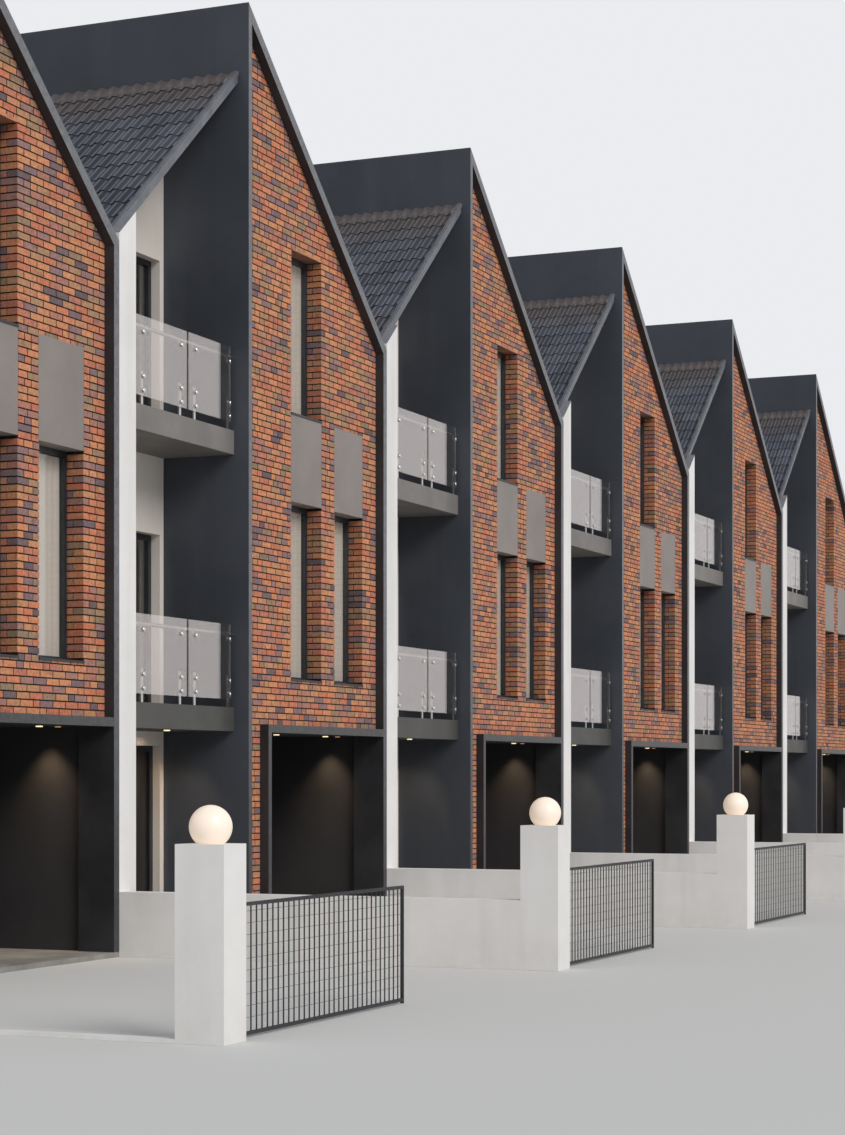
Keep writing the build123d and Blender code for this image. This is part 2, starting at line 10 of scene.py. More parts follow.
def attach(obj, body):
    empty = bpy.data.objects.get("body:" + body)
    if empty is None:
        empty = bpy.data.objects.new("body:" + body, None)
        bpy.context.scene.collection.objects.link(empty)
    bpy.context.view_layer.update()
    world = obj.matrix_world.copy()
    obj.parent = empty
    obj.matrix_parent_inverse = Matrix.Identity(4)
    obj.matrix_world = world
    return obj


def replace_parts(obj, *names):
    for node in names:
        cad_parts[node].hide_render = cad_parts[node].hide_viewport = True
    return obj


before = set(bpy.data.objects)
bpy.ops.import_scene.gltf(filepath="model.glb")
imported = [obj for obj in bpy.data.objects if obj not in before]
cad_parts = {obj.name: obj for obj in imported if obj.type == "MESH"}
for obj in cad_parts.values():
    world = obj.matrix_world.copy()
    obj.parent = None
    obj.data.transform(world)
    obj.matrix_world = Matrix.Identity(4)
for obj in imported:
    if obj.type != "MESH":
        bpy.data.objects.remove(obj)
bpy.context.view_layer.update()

# ---------------------------------------------------------------- sizes, metres
# the row: each house is measured from its own left end, and depths from the front face
HOUSES = 6
PITCH = 6.55
HOUSE_DEPTH = 9.0
LEFT_X = -19.815
FACE_Y = -2.2285
HOUSE_XS = [LEFT_X + i * PITCH for i in range(HOUSES)]
REAR_FACE = FACE_Y + HOUSE_DEPTH

# across a house: the party wall's thickness, the outer side of the flank wall, the inner
# side of the left post, the left ends of the rear bricks and of the portal, and the inner
# side of the right post. RECESS is the depth of the balconies' recess
PARTY_T = 0.33
FLANK_X = 2.8
POST_IN = 2.88
STRIP_X = 3.02
JAMB_X = 3.284
RIGHT_IN = 6.45
RECESS = 1.05

# heights: ground, the first brick course over the portal, and both balconies
GROUND = 0.05
BRICK_Z = 2.34
FIRST_TOP = 2.515
SECOND_TOP = 5.525

# the slots of the tall windows, and the panel between an upper and a lower one
SLOT_A, SLOT_B, SLOT_W = 4.07, 5.24, 0.815
SILL_Z, PANEL_LOW, PANEL_HIGH, SLOT_HEAD = 2.85, 4.89, 5.88, 7.755

# roofs: the left slope rises from the valley and the right one falls from the apex. The
# left tiles lie ROOF_RISE above the roof line, and a deck ends RELIEF below its tiles
SLOPE = 0.844
VALLEY_Z = 7.0
APEX_Z = 10.165
RAKE_T = 0.143
RELIEF = 0.02
ROOF_RISE = 0.065
ROOF_UNDER = 0.31
VERGE_FRONT, VERGE_BACK, VERGE_H = 0.135, 0.18, 0.125
dice = random.Random(6)


def right_line(x):
    return APEX_Z - SLOPE * (x - FLANK_X)


def left_line(x):
    return VALLEY_Z + SLOPE * x


# ---------------------------------------------------------------- materials
def colour(code):
    """sRGB hex turned linear"""
    parts = [int(code[i:i + 2], 16) / 255 for i in (0, 2, 4)]
    return (*[p / 12.92 if p <= 0.04045 else ((p + 0.055) / 1.055) ** 2.4 for p in parts], 1.0)


def add(owner, kind, plugs=(), **settings):
    """one node of a material or the world, with its settings, and the values or links of
    its sockets. A colour Mix has its share at 0, its colours at 6 and 7, its result at 2"""
    made = owner.node_tree.nodes.new("ShaderNode" + kind)
    for key, value in settings.items():
        setattr(made, key, value)
    for socket, value in dict(plugs).items():
        if isinstance(value, bpy.types.NodeSocket):
            owner.node_tree.links.new(value, made.inputs[socket])
        else:
            made.inputs[socket].default_value = value
    return made


def link(owner, output, target):
    owner.node_tree.links.new(output, target)


def finish(name, base, rough, **sockets):
    """a named finish: its shader with the values that hold all over"""
    mat = bpy.data.materials.new(name)
    mat.use_nodes = True
    shader = mat.node_tree.nodes["Principled BSDF"]
    shader.inputs["Base Color"].default_value = colour(base)
    shader.inputs["Roughness"].default_value = rough
    for socket, value in sockets.items():
        shader.inputs[socket.replace("_", " ")].default_value = value
    return mat, shader


def placed(mat, stretch=(1, 1, 1)):
    """object coordinates, stretched along an axis"""
    spot = add(mat, "TexCoord").outputs["Object"]
    return add(mat, "Mapping", {"Vector": spot, "Scale": stretch}).outputs["Vector"]


def mottle(mat, spot, size, dark, light, low=0.35, high=0.65, detail=5.0):
    """two colours that drift into each other over patches of that size in metres"""
    cloud = add(mat, "TexNoise", {"Vector": spot, "Scale": 1 / size, "Detail": detail,
                                  "Roughness": 0.62})
    share = add(mat, "MapRange", {"Value": cloud.outputs["Fac"],
                                  "From Min": low, "From Max": high})
    return add(mat, "Mix", {0: share.outputs["Result"], 6: colour(dark), 7: colour(light)},
               data_type="RGBA").outputs[2]


def grain(mat, shader, spot, size, depth, strength=0.6, detail=3.0):
    """relief of that grain size and depth, in metres"""
    dust = add(mat, "TexNoise", {"Vector": spot, "Scale": 1 / size, "Detail": detail})
    bump = add(mat, "Bump", {"Height": dust.outputs["Fac"], "Distance": depth,
                             "Strength": strength})
    link(mat, bump.outputs["Normal"], shader.inputs["Normal"])


def rain_streaks(mat, spacing, most):
    """share of long soft upright streaks, as rain leaves them"""
    spot = placed(mat, (1 / spacing, 1 / spacing, 0.08 / spacing))
    streak = add(mat, "TexNoise", {"Vector": spot, "Scale": 1.0, "Detail": 3.0})
    return add(mat, "MapRange", {"Value": streak.outputs["Fac"], "From Min": 0.52,
                                 "From Max": 0.78, "To Max": most}).outputs["Result"]


def by_height(mat, spot, start, full, most=1.0):
    """share that grows from nothing at the start height to the most at the full height"""
    height = add(mat, "SeparateXYZ", {"Vector": spot}).outputs["Z"]
    return add(mat, "MapRange", {"Value": height, "From Min": start, "From Max": full,
                                 "To Max": most}).outputs["Result"]


def by_facing(mat, axis, start, full):
    """share that grows as the surface turns along an axis, between two values of its normal"""
    normal = add(mat, "TexCoord").outputs["Normal"]
    turned = add(mat, "SeparateXYZ", {"Vector": normal}).outputs[axis]
    return add(mat, "MapRange", {"Value": turned, "From Min": start,
                                 "From Max": full}).outputs["Result"]


def painted_render(name, pale, shade, soiled):
    """Silicone render, trowelled and painted: matt, even, with faint trowel drifts,
    and splash dirt that fades out above the ground"""
    mat, shader = finish(name, pale, 0.9)
    spot = placed(mat)
    drift = mottle(mat, spot, 1.1, shade, pale)
    streaked = add(mat, "Mix", {0: rain_streaks(mat, 0.35, 0.35), 6: drift, 7: colour(soiled)},
                   data_type="RGBA").outputs[2]
    low = by_height(mat, spot, 0.35, 0.0, 0.45)
    soil = add(mat, "TexNoise", {"Vector": spot, "Scale": 9.0, "Detail": 6.0})
    splash = add(mat, "Math", {0: low, 1: soil.outputs["Fac"]}, operation="MULTIPLY")
    paint = add(mat, "Mix", {0: splash.outputs[0], 6: streaked, 7: colour(soiled)},
                data_type="RGBA").outputs[2]
    link(mat, paint, shader.inputs["Base Color"])
    # the 2 mm sand of the render is drawn at 14 mm, the finest that shows
    grain(mat, shader, spot, 0.014, 0.0012)
    return mat


def smooth_cladding(name, dark, light, washed):
    """Facade board, factory coated: smooth satin, almost one colour, with faint streaks
    and cloudiness in the sheen"""
    mat, shader = finish(name, light, 0.42, Specular_IOR_Level=0.25)
    spot = placed(mat)
    drift = mottle(mat, spot, 1.6, dark, light)
    board = add(mat, "Mix", {0: rain_streaks(mat, 0.3, 0.25), 6: drift, 7: colour(washed)},
                data_type="RGBA").outputs[2]
    link(mat, board, shader.inputs["Base Color"])
    sheen = add(mat, "TexNoise", {"Vector": spot, "Scale": 1.4, "Detail": 4.0})
    rough = add(mat, "MapRange", {"Value": sheen.outputs["Fac"], "To Min": 0.36, "To Max": 0.52})
    link(mat, rough.outputs["Result"], shader.inputs["Roughness"])
    grain(mat, shader, spot, 0.03, 0.0006, 0.5)
    return mat


def coated_steel_frame(name, dark, light, start):
    """Folded steel surround, powder coated in slate grey, and as the facade board where it ends
    that board. Painted light: the faces turned to the street and the sky are painted lighter,
    the reveals painted almost black as shade, and the face painted duller from the start
    height down, a painted reflection of the dark ground"""
    mat, shader = finish(name, light, 0.45, Specular_IOR_Level=0.3)
    spot = placed(mat)
    # painted light: the faces turned to the street and to the sky are painted lighter
    front, top = by_facing(mat, "Y", -0.4, -0.9), by_facing(mat, "Z", 0.4, 0.7)
    seen = add(mat, "Math", {0: front, 1: top}, operation="MAXIMUM").outputs[0]
    # painted reflection of the dark ground: the face is painted duller from the start height down
    face = add(mat, "Mix", {0: by_height(mat, spot, start, 0.9),
                            6: mottle(mat, spot, 0.05, dark, light, 0.3, 0.7, 7.0),
                            7: mottle(mat, spot, 0.05, "39393C", "48484B", 0.3, 0.7, 7.0)},
               data_type="RGBA").outputs[2]
    # the outer side of each left post ends the facade board beside it
    across = add(mat, "SeparateXYZ", {"Vector": spot}).outputs["X"]
    from_end = add(mat, "Math", {0: across, 1: LEFT_X}, operation="SUBTRACT").outputs[0]
    in_house = add(mat, "Math", {0: from_end, 1: PITCH}, operation="MODULO").outputs[0]
    at_flank = add(mat, "Math", {0: in_house, 1: FLANK_X + 0.01}, operation="LESS_THAN").outputs[0]
    # painted shade: the other sides, in the reveals, are painted almost black
    sides = add(mat, "Mix", {0: at_flank, 6: mottle(mat, spot, 0.6, "2C2B2D", "39393C"),
                             7: mottle(mat, spot, 1.6, "3E4249", "494D55")},
                data_type="RGBA").outputs[2]
    coat = add(mat, "Mix", {0: seen, 6: sides, 7: face}, data_type="RGBA").outputs[2]
    link(mat, coat, shader.inputs["Base Color"])
    grain(mat, shader, spot, 0.012, 0.0004, 0.4)
    return mat


def raked_mortar():
    """Dark pigmented mortar, raked back behind the bricks: sandy and matt"""
    mat, shader = finish("dark_raked_mortar", "191513", 0.95)
    spot = placed(mat)
    link(mat, mottle(mat, spot, 0.05, "100E0D", "221C19"), shader.inputs["Base Color"])
    grain(mat, shader, spot, 0.006, 0.002, 0.8)
    return mat


# colours of the fired bricks, along the scale of their tone
FIRED = [(0.0, "6A595C"), (0.07, "8A7073"), (0.17, "A57C72"), (0.30, "BE7B64"),
         (0.42, "CA795B"), (0.56, "D38963"), (0.70, "D49168"), (0.83, "C48B65"),
         (0.93, "AF8868"), (1.0, "927C66")]


def fired_brick():
    """Facing brick, hard fired: matt open clay. Each brick has its own colour, from orange
    through red to a reduced purple grey, with burnt patches on its face"""
    mat, shader = finish("fired_clay_brick", "A5623F", 0.88)
    spot = placed(mat)
    own = add(mat, "Attribute", attribute_name="tone").outputs["Fac"]
    body = add(mat, "ValToRGB", {"Fac": own})
    bar = body.color_ramp
    while len(bar.elements) < len(FIRED):
        bar.elements.new(0.5)
    for mark, (place, code) in zip(bar.elements, FIRED):
        mark.position = place
        mark.color = colour(code)
    again = add(mat, "TexWhiteNoise", {"W": own}, noise_dimensions="1D").outputs["Value"]
    patch = add(mat, "TexNoise", {"Vector": spot, "Scale": 1 / 0.07, "Detail": 4.0,
                                  "Roughness": 0.7})
    burn = add(mat, "MapRange", {"Value": patch.outputs["Fac"], "From Min": 0.5,
                                 "From Max": 0.75, "To Max": 0.75})
    burnt = add(mat, "Math", {0: burn.outputs["Result"], 1: again}, operation="MULTIPLY")
    clay = add(mat, "Mix", {0: burnt.outputs[0], 6: body.outputs["Color"], 7: colour("5E4A45")},
               data_type="RGBA").outputs[2]
    specks = add(mat, "TexNoise", {"Vector": spot, "Scale": 1 / 0.022, "Detail": 3.0,
                                   "Roughness": 0.7})
    fleck = add(mat, "MapRange", {"Value": specks.outputs["Fac"], "From Min": 0.35,
                                  "From Max": 0.65, "To Min": 0.74, "To Max": 1.22})
    flecked = add(mat, "Mix", {0: 1.0, 6: clay, 7: fleck.outputs["Result"]},
                  data_type="RGBA", blend_type="MULTIPLY").outputs[2]
    # the beds and sides of a brick, in its joints and in the reveals, carry painted shade
    painted_shade = add(mat, "Attribute", attribute_name="shade").outputs["Fac"]
    brick = add(mat, "Mix", {0: 1.0, 6: flecked, 7: painted_shade},
                data_type="RGBA", blend_type="MULTIPLY").outputs[2]
    link(mat, brick, shader.inputs["Base Color"])
    # creases of the pressed face, 10 mm apart
    grain(mat, shader, spot, 0.01, 0.002, 0.7, 4.0)
    return mat


def wave_tile():
    """Concrete wave tile, slate grey and coated: a dull sheen, each tile a little lighter
    or darker, with lichen brown towards the ridge"""
    mat, shader = finish("coated_concrete_tile", "565B65", 0.5)
    spot = placed(mat)
    own = add(mat, "Attribute", attribute_name="tone").outputs["Fac"]
    slate = add(mat, "Mix", {0: own, 6: colour("494D57"), 7: colour("626672")},
                data_type="RGBA").outputs[2]
    again = add(mat, "TexWhiteNoise", {"W": own}, noise_dimensions="1D").outputs["Value"]
    stain = add(mat, "TexNoise", {"Vector": spot, "Scale": 1.1, "Detail": 5.0,
                                  "Roughness": 0.6})
    share = add(mat, "MapRange", {"Value": stain.outputs["Fac"], "From Min": 0.5,
                                  "From Max": 0.7, "To Max": 0.5})
    brown = add(mat, "Math", {0: share.outputs["Result"], 1: again}, operation="MULTIPLY")
    # the two rows below the ridge are brown nearly all over
    top_rows = by_height(mat, spot, 8.75, 9.15, 0.75)
    grown = add(mat, "Math", {0: brown.outputs[0], 1: top_rows}, operation="MAXIMUM")
    tile = add(mat, "Mix", {0: grown.outputs[0], 6: slate, 7: colour("574D48")},
               data_type="RGBA").outputs[2]
    link(mat, tile, shader.inputs["Base Color"])
    grain(mat, shader, spot, 0.02, 0.0012, 0.6)
    return mat


def roof_deck():
    """Roof deck under the tiles: dark underlay above, and painted boards as the soffit"""
    mat, shader = finish("underlay_and_soffit_board", "2B2D33", 0.8)
    spot = placed(mat)
    deck = add(mat, "Mix", {0: by_facing(mat, "Z", -0.3, -0.6),
                            6: mottle(mat, spot, 0.3, "26282E", "32353C"),
                            7: mottle(mat, spot, 0.9, "6F6E70", "807F80")},
               data_type="RGBA").outputs[2]
    link(mat, deck, shader.inputs["Base Color"])
    grain(mat, shader, spot, 0.02, 0.0008)
    return mat


def folded_metal(name, dark, light, rough, coat_size, dust=0.3):
    """Folded sheet metal with a matt polyester coat: fine stipple, a soft sheen,
    and dust where rain runs"""
    mat, shader = finish(name, light, rough)
    spot = placed(mat)
    drift = mottle(mat, spot, coat_size, dark, light)
    coat = add(mat, "Mix", {0: rain_streaks(mat, 0.25, dust), 6: drift, 7: colour("8A8984")},
               data_type="RGBA").outputs[2]
    link(mat, coat, shader.inputs["Base Color"])
    grain(mat, shader, spot, 0.01, 0.0004, 0.4)
    return mat


def shaded_fascia():
    """Painted balcony edge, brown grey and satin. The lower balcony's edge is painted darker
    than the upper one, as painted shade"""
    mat, shader = finish("brown_grey_balcony_fascia", "757069", 0.55)
    spot = placed(mat)
    # painted shade: darker up to 3 m, lighter from 5 m up
    edge = add(mat, "Mix", {0: by_height(mat, spot, 3.0, 5.0),
                            6: mottle(mat, spot, 0.5, "464542", "504F4B"),
                            7: mottle(mat, spot, 0.5, "746F6B", "827D79")},
               data_type="RGBA").outputs[2]
    link(mat, edge, shader.inputs["Base Color"])
    grain(mat, shader, spot, 0.01, 0.0004, 0.4)
    return mat


def cast_concrete():
    """Cast concrete floor: float finished on top, with pale grey clouds and pinholes, and
    dark underneath as the carport's ceiling, as painted shade"""
    mat, shader = finish("float_finished_concrete", "8D8B87", 0.8)
    spot = placed(mat)
    # painted shade: the faces turned down are painted dark
    floor = add(mat, "Mix", {0: by_facing(mat, "Z", -0.3, -0.6),
                             6: mottle(mat, spot, 0.45, "7A7874", "9A9894"),
                             7: mottle(mat, spot, 0.9, "26262A", "303034")},
                data_type="RGBA").outputs[2]
    link(mat, floor, shader.inputs["Base Color"])
    grain(mat, shader, spot, 0.012, 0.001)
    return mat


def clear_pane(name, tint, least):
    """Float glass: clear when seen straight on, and at a low angle a mirror of the sky. Each
    face mirrors by the Schlick curve, and the rest of it lets the view through"""
    mat, shader = finish(name, tint, 0.03, Metallic=1.0)
    slant = add(mat, "LayerWeight", {"Blend": 0.5}).outputs["Facing"]
    curve = add(mat, "Math", {0: slant, 1: 5.0}, operation="POWER").outputs[0]
    share = add(mat, "MapRange", {"Value": curve, "To Min": least, "To Max": 1.0})
    link(mat, share.outputs["Result"], shader.inputs["Alpha"])
    return mat


def brushed_stainless():
    """Stainless steel, satin ground: bright, with a fine scratched grain of 4 mm in its
    sheen, the finest that shows"""
    mat, shader = finish("brushed_stainless_steel", "CDCDCA", 0.24, Metallic=1.0)
    scratch = add(mat, "TexNoise", {"Vector": placed(mat), "Scale": 1 / 0.004, "Detail": 2.0})
    rough = add(mat, "MapRange", {"Value": scratch.outputs["Fac"], "To Min": 0.18,
                                  "To Max": 0.34})
    link(mat, rough.outputs["Result"], shader.inputs["Roughness"])
    return mat


def lamp(name, tint, glow, strength):
    """Opal lamp cover, lit from inside, a little dimmer towards its rim"""
    mat, shader = finish(name, tint, 0.35, Emission_Strength=strength)
    rim = add(mat, "LayerWeight", {"Blend": 0.35}).outputs["Facing"]
    light = add(mat, "Mix", {0: rim, 6: colour(glow), 7: colour("D9C3A8")},
                data_type="RGBA").outputs[2]
    link(mat, light, shader.inputs["Emission Color"])
    return mat


def voile():
    """Polyester voile: thin cream cloth with an open weave that lets daylight through; here it is
    drawn opaque
    """
    mat, shader = finish("cream_polyester_voile", "D2CCC1", 0.95, Sheen_Weight=0.3)
    weave = add(mat, "TexCoord").outputs["UV"]
    # threads 0.4 mm apart are drawn 5 mm apart, so that they show
    warp = add(mat, "TexWave", {"Vector": weave, "Scale": 2 / math.tau / 0.005},
               bands_direction="X")
    bump = add(mat, "Bump", {"Height": warp.outputs["Fac"], "Distance": 0.0004,
                             "Strength": 0.5})
    link(mat, bump.outputs["Normal"], shader.inputs["Normal"])
    cloth = add(mat, "Mix", {0: warp.outputs["Fac"], 6: colour("BFB7AB"), 7: colour("D1C9BE")},
                data_type="RGBA").outputs[2]
    link(mat, cloth, shader.inputs["Base Color"])
    return mat


WHITE = painted_render("white_painted_render", "F3F1EF", "EAE7E4", "C6C2BD")
# painted shade: the recess walls get a darker, warmer copy of the white render
RECESS_RENDER = painted_render("recess_render_painted_shade", "E5DDD5", "DCD3CA", "BBB2AA")
CLADDING = smooth_cladding("anthracite_facade_board", "3E4249", "494D55", "575B63")
LINING = smooth_cladding("charcoal_carport_board", "363537", "403F40", "484747")
FRAME = coated_steel_frame("powder_coated_steel_surround_painted_light", "65666A", "808185", 4.0)
PORTAL = coated_steel_frame("powder_coated_steel_portal_painted_light", "434243", "575555", 2.25)
MORTAR = raked_mortar()
BRICK = fired_brick()
TILE = wave_tile()
DECK = roof_deck()
VERGE = folded_metal("grey_coated_verge_metal", "606268", "72757C", 0.5, 0.2)
FLASHING = folded_metal("dark_coated_flashing", "2C2F37", "3B3F48", 0.45, 0.4)
WINDOW_METAL = folded_metal("anthracite_window_aluminium", "222428", "2C2F34", 0.45, 0.3, 0.1)
PANEL = folded_metal("warm_grey_coated_panel", "827974", "908680", 0.48, 0.9)
FASCIA = shaded_fascia()
FENCE = folded_metal("black_coated_fence_steel", "16181B", "202328", 0.5, 0.2, 0.08)
DOOR = folded_metal("dark_coated_door_skin", "1E1D1E", "2A2829", 0.38, 0.5)
CONCRETE = cast_concrete()
WINDOW_GLASS = clear_pane("window_float_glass", "EFEDEA", 0.05)
CLEAR_GLASS = clear_pane("toughened_balustrade_glass", "FBF2EC", 0.24)
STAINLESS = brushed_stainless()
GLOBE = lamp("opal_polycarbonate_globe", "F0E4D8", "FFDFC0", 0.3)
DOWNLIGHT = lamp("lit_downlight_lens", "F3E3C6", "FFE2B4", 1.2)
DIM_LENS = lamp("warm_dimmed_lens", "C9A877", "FFB765", 0.35)
VOILE = voile()

dress = {
    WHITE: ["party_walls", "garden_walls", "rear_walls_left"],
    RECESS_RENDER: ["recess_door_walls", "recess_upper_walls"],
    CLADDING: ["flank_walls", "ridge_walls"],
    LINING: ["carport_walls"],
    FRAME: ["frame_posts", "frame_rakes"],
    PORTAL: ["carport_portals"],
    MORTAR: ["brick_fronts", "brick_piers", "rear_walls_right"],
    DECK: ["left_roofs", "right_roofs"],
    VERGE: ["roof_verges"],
    FLASHING: ["valley_gutters", "ridge_caps"],
    WINDOW_METAL: ["window_sills", "window_frames", "rear_window_frames",
                   "balcony_door_frames", "entrance_frames"],
    WINDOW_GLASS: ["window_glass", "rear_window_glass", "balcony_door_glass"],
    PANEL: ["window_panels"],
    FASCIA: ["balcony_slabs"],
    CLEAR_GLASS: ["balcony_glass"],
    STAINLESS: ["balcony_posts", "balcony_handrails", "entrance_hinges"],
    FENCE: ["fence_panels"],
    GLOBE: ["lamp_globes"],
    DOWNLIGHT: ["downlights"],
    CONCRETE: ["ground_slabs", "upper_floors", "front_floors"],
    DOOR: [f"entrance_door_{i + 1}" for i in range(HOUSES)],
}
for material, names in dress.items():
    for name in names:
        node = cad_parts[name]
        node.data.materials.clear()
        node.data.materials.append(material)


# ---------------------------------------------------------------- new pieces
def stand(name, data, location=(0, 0, 0)):
    """an object of the scene, with its data and its place"""
    made = bpy.data.objects.new(name, data)
    made.location = location
    bpy.context.scene.collection.objects.link(made)
    return made


def joined(groups):
    """the members of several groups, each once, in an order that every run repeats"""
    return list(dict.fromkeys(member for group in groups for member in group))


def piece(bm, name, material, body="row"):
    """a finished mesh, in its place, riding on its body"""
    mesh = bpy.data.meshes.new(name)
    bm.to_mesh(mesh)
    bm.free()
    mesh.materials.append(material)
    made = stand(name, mesh)
    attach(made, body)
    return made


def pitched(bm, hx, x0, x1, depth0, depth1, low, high):
    """a board that lies along a left slope, from low to high above its roof line"""
    middle = Vector((hx + (x0 + x1) / 2, FACE_Y + (depth0 + depth1) / 2, (low + high) / 2))
    size = Matrix.Diagonal((x1 - x0, depth1 - depth0, high - low, 1))
    board = bmesh.ops.create_cube(bm, size=1.0, matrix=Matrix.Translation(middle) @ size)
    for v in board["verts"]:
        v.co.z += left_line(v.co.x - hx)


TURNED = {"X": Matrix.Rotation(math.pi / 2, 4, "Y"), "Y": Matrix.Rotation(math.pi / 2, 4, "X"),
          "Z": Matrix()}


def rod(bm, middle, radius, depth, segments, axis="Z"):
    """a round bar or disc about its middle, along an axis"""
    return bmesh.ops.create_cone(bm, cap_ends=True, segments=segments, radius1=radius,
                                 radius2=radius, depth=depth,
                                 matrix=Matrix.Translation(middle) @ TURNED[axis])["verts"]


# Bricks: real stretchers and headers in wild bond, in courses of 70 mm with raked joints.
# A brick stands PROUD of the mortar's face and is BEDDED behind it
STRETCHER, HEADER, THREE_QUARTER, BRICK_H = 0.215, 0.102, 0.155, 0.057
JOINT, COURSE, PROUD, BEDDED = 0.012, (SLOT_HEAD - BRICK_Z) / 77, 0.009, 0.012
# the share of headers, how far upright joints stay from those below, the thinnest course and
# the narrowest run that are laid, the shortest piece cut at an end, the longest left whole
HEADERS, STAGGER, SLIVER, NARROWEST = 0.24, 0.03, 0.015, 0.03
SHORTEST, LAST_WHOLE = 0.06, 0.225
END_GAP = 0.004
FRONT_REVEAL, REAR_REVEAL = 0.174, 0.09
BRICK_FACE = FACE_Y + 0.114
# painted shade: how light a brick is on its face, its bed, a side in a deep reveal, and in a joint
FACE_LIGHT, BED_LIGHT, REVEAL_LIGHT, JOINT_LIGHT = 1.0, 0.4, 0.66, 0.15


def set_bricks(bm, bricks):
    """one unit cube, doubled until there is one for each brick, and each drawn out to its size.
    Faces carry their brick's tone, and a painted shade that is darker in the joints and reveals"""
    tone, shade = (bm.faces.layers.float.new(kind) for kind in ("tone", "shade"))
    bmesh.ops.create_cube(bm, size=1.0)
    while len(bm.verts) < 8 * len(bricks):
        bmesh.ops.duplicate(bm, geom=bm.verts[:] + bm.edges[:] + bm.faces[:])
    bm.verts.ensure_lookup_table()
    bmesh.ops.delete(bm, geom=bm.verts[8 * len(bricks):], context="VERTS")
    for i, v in enumerate(bm.verts):
        v.index = i
        v.co = [bricks[i // 8][axis][c > 0] for axis, c in enumerate(v.co)]
    bm.normal_update()
    own = [dice.random() for _ in bricks]
    for f in bm.faces:
        mine = f.verts[0].index // 8
        f[tone] = own[mine]
        y0, y1 = bricks[mine][1]
        # painted shade by facing: full light on the face, less on the beds and sides
        if abs(f.normal.y) > 0.5:
            f[shade] = FACE_LIGHT
        elif abs(f.normal.z) > 0.5:
            f[shade] = BED_LIGHT
        else:
            f[shade] = REVEAL_LIGHT if y1 - y0 > 0.05 else JOINT_LIGHT


def brick_ends(x0, x1, below, first=None):
    """x of the bricks of one run, with joints kept off the joints of the course below"""
    bricks, x = [], x0
    while x1 - x > 0.02:
        left = x1 - x
        if first:
            width, first = first, None
        else:
            width = HEADER if dice.random() < HEADERS else STRETCHER
            if any(abs(x + width - j) < STAGGER for j in below):
                width = HEADER if width == STRETCHER else STRETCHER
        if left < LAST_WHOLE:
            width = left
        elif left < width + JOINT + SHORTEST:
            width = (left - JOINT) / 2
        bricks.append((x, x + width))
        x += width + JOINT
    return bricks


def lay_courses(laid, x0, reach, z0, z1, base, openings, face, inward, reveal):
    """courses from z0 to z1. reach(z) is where a course ends; openings are (x0, x1, z0, z1,
    returns), and at one with returns the bricks turn into its reveal"""
    back, joints = face + inward * BEDDED, []
    front = face - inward * PROUD
    for i in range(math.ceil((z1 - base) / COURSE)):
        low, high = max(base + i * COURSE, z0), min(base + i * COURSE + BRICK_H, z1)
        end = reach(low)
        if high - low < SLIVER or end - x0 < 0.05:
            continue
        crossed = [o for o in openings
                   if min(high, o[3]) - max(low, o[2]) > 0.004 and o[0] < end]
        runs, x, turned = [], x0, False
        for sides in sorted({o[:2] for o in crossed}):
            stack = [o for o in crossed if o[:2] == sides]
            bottom, top = min(o[2] for o in stack), max(o[3] for o in stack)
            turns = all(o[4] for o in stack) and bottom < low + 0.004 and top > high - 0.004
            runs.append((x, sides[0], turned, turns, low, high))
            for part in ((low, bottom), (top, high)):
                if part[1] - part[0] > SLIVER:
                    runs.append((*sides, False, False, *part))
            x, turned = sides[1], turns
        runs.append((x, end, turned, False, low, high))
        # at a reveal a stretcher on the face, with one more brick behind it in a deep reveal,
        # takes turns with a brick that is laid into the reveal
        wide = HEADER if i % 2 else STRETCHER
        turn = (front, face + inward * (reveal if i % 2 else HEADER))[::inward]
        behind = (face + inward * (HEADER + JOINT), face + inward * reveal)[::inward]
        doubled = not i % 2 and reveal > 0.15
        fresh = []
        for a, b, turn_a, turn_b, bottom, top in runs:
            if b - a < NARROWEST:
                continue
            a, b = a - PROUD if turn_a else a + END_GAP, b + PROUD if turn_b else b - END_GAP
            width = min(wide, (b - a - JOINT) / 2) if turn_a and turn_b else wide
            if turn_a:
                laid.append(((a, a + width), turn, (bottom, top)))
                if doubled:
                    laid.append(((a, a + HEADER), behind, (bottom, top)))
                a += width + JOINT
            if turn_b:
                laid.append(((b - width, b), turn, (bottom, top)))
                if doubled:
                    laid.append(((b - HEADER, b), behind, (bottom, top)))
                b -= width + JOINT
            start = None if turn_a else dice.choice((HEADER, THREE_QUARTER, STRETCHER))
            for c, d in brick_ends(a, b, joints, start):
                laid.append(((c, d), (front, back)[::inward], (bottom, top)))
                fresh.append(d + JOINT / 2)
        joints = fresh


def moved(openings, hx):
    """a house's openings in the row"""
    return [(a + hx, b + hx, *rest) for a, b, *rest in openings]


front_open = [(SLOT_A, SLOT_A + SLOT_W, SILL_Z, PANEL_LOW, True),
              (SLOT_A, SLOT_A + SLOT_W, PANEL_LOW, PANEL_HIGH, False),
              (SLOT_A, SLOT_A + SLOT_W, PANEL_HIGH, SLOT_HEAD, True),
              (SLOT_B, SLOT_B + SLOT_W, SILL_Z, PANEL_LOW, True),
              (SLOT_B, SLOT_B + SLOT_W, PANEL_LOW, PANEL_HIGH, False)]
rear_open = [(SLOT_A, SLOT_B + SLOT_W, 0.25, 2.1, True),
             (SLOT_A, SLOT_A + SLOT_W, SILL_Z, PANEL_LOW, True),
             (SLOT_B, SLOT_B + SLOT_W, SILL_Z, PANEL_LOW, True),
             (SLOT_A, SLOT_A + SLOT_W, PANEL_HIGH, SLOT_HEAD, True)]


def front_reach(hx):
    """a course's right end, hidden 86 mm inside the sloping steel"""
    return lambda z: hx + min(RIGHT_IN - 0.002, FLANK_X + (APEX_Z - RAKE_T - z + 0.073) / SLOPE)


def rear_reach(hx):
    """a course's right end, past the slope that cuts it"""
    return lambda z: hx + min(PITCH, FLANK_X + (APEX_Z - ROOF_UNDER - z + 0.2) / SLOPE)


